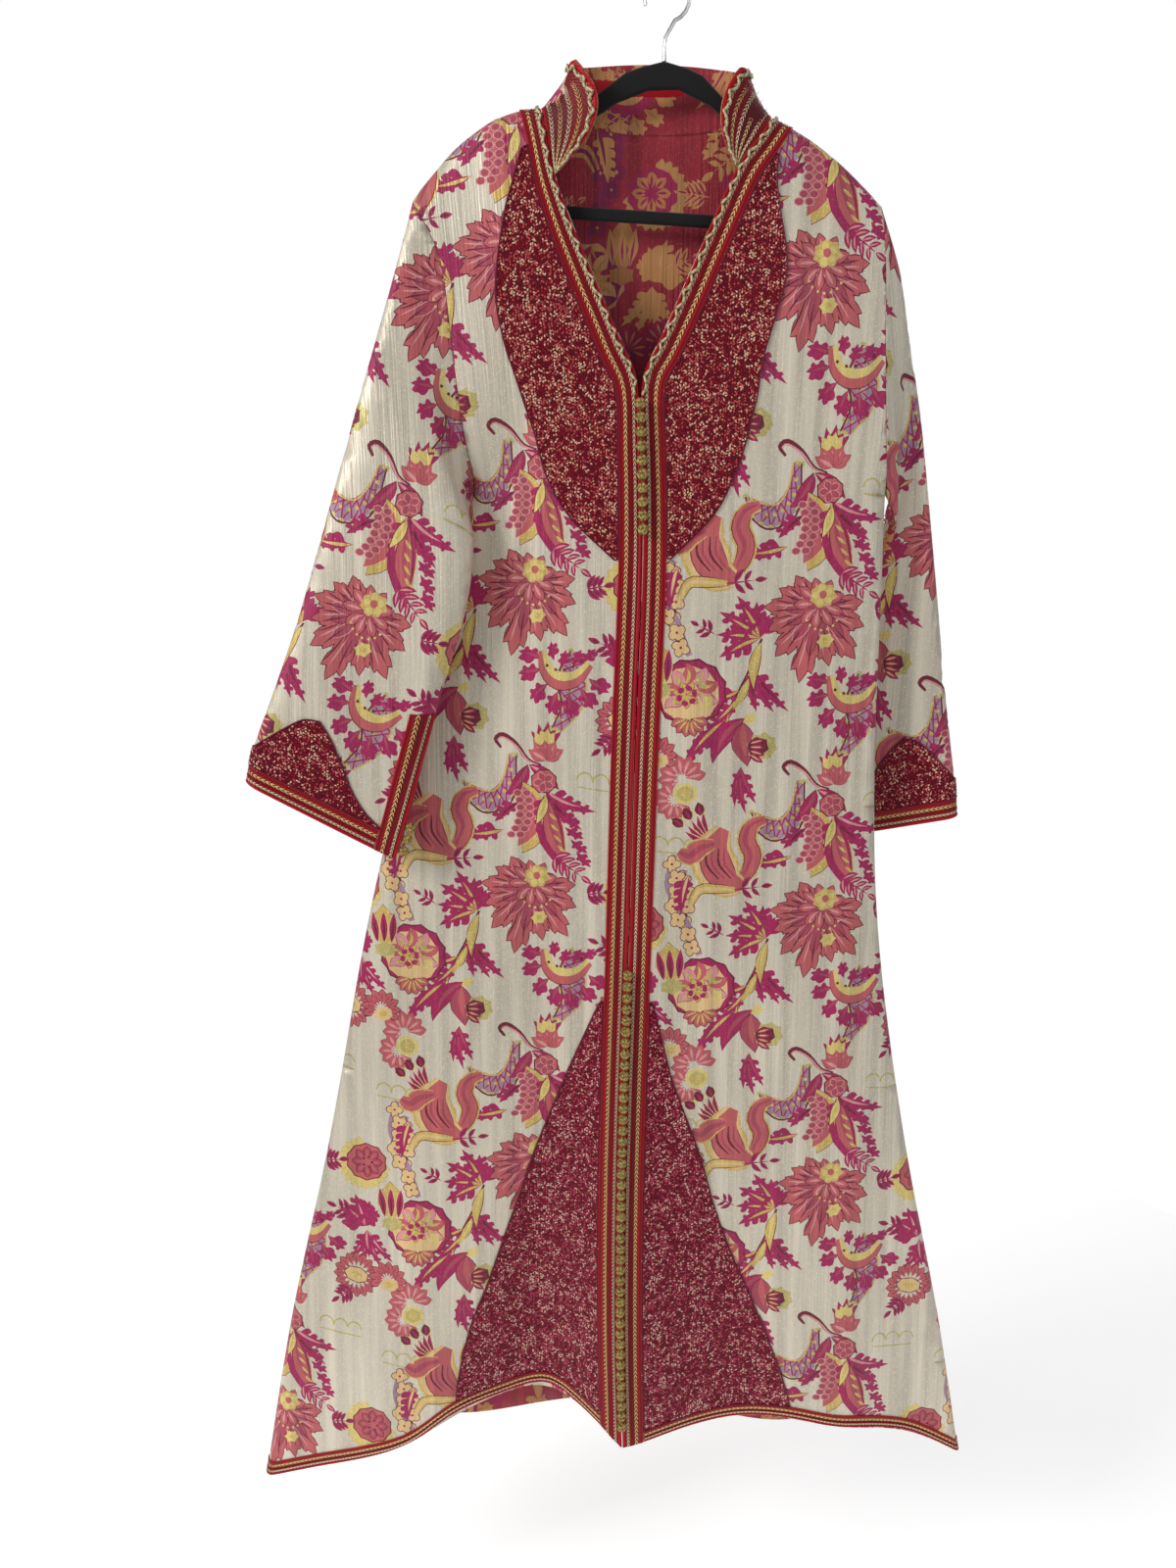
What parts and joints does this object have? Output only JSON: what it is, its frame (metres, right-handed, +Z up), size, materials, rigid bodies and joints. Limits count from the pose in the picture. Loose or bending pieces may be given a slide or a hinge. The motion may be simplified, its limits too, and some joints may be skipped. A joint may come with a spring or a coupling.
{
  "type": "moroccan kaftan on a hanger",
  "caption": "Long open-front kaftan with standing collar, set-in sleeves, braid edging, knotted buttons and embroidered fields, hung on a slim hanger.",
  "frame": {"origin": "seat of the hanger's hook, where it rests on a rail", "axes": "+Z up, front of the garment towards -Y, the wearer's left side towards +X"},
  "size_m": [0.8394, 0.1486, 1.6159],
  "materials": {
    "brocade": "ivory lamé brocade with woven flowers",
    "sfifa": "red braid with gold stitches",
    "glitter": "dark red, closely beaded",
    "silk": "gold thread knots",
    "velvet": "black flocked",
    "hook": "bright wire"
  },
  "bodies": {
    "root": {"back": "brocade", "braid_collar": "sfifa", "braid_cuff_left": "sfifa", "braid_cuff_right": "sfifa", "braid_front_left": "sfifa", "braid_front_right": "sfifa", "braid_hem_back": "sfifa", "braid_hem_front_left": "sfifa", "braid_hem_front_right": "sfifa", "braid_slit_back_left": "sfifa", "braid_slit_back_right": "sfifa", "braid_slit_front_left": "sfifa", "braid_slit_front_right": "sfifa", "button_chest_01": "silk", "button_chest_02": "silk", "button_chest_03": "silk", "button_chest_04": "silk", "button_chest_05": "silk", "button_chest_06": "silk", "button_chest_07": "silk", "button_chest_08": "silk", "button_chest_09": "silk", "button_chest_10": "silk", "button_cuff_left_1": "silk", "button_cuff_left_2": "silk", "button_cuff_left_3": "silk", "button_cuff_right_1": "silk", "button_cuff_right_2": "silk", "button_cuff_right_3": "silk", "buttons_skirt": "silk", "collar": "brocade", "front_left": "brocade", "front_right": "brocade", "hanger_body": "velvet", "hanger_hook": "hook", "panel_chest_left": "glitter", "panel_chest_right": "glitter", "panel_cuff_left": "glitter", "panel_cuff_right": "glitter", "panel_skirt_left": "glitter", "panel_skirt_right": "glitter", "sleeve_left": "brocade", "sleeve_right": "brocade"}
  },
  "joints": []
}
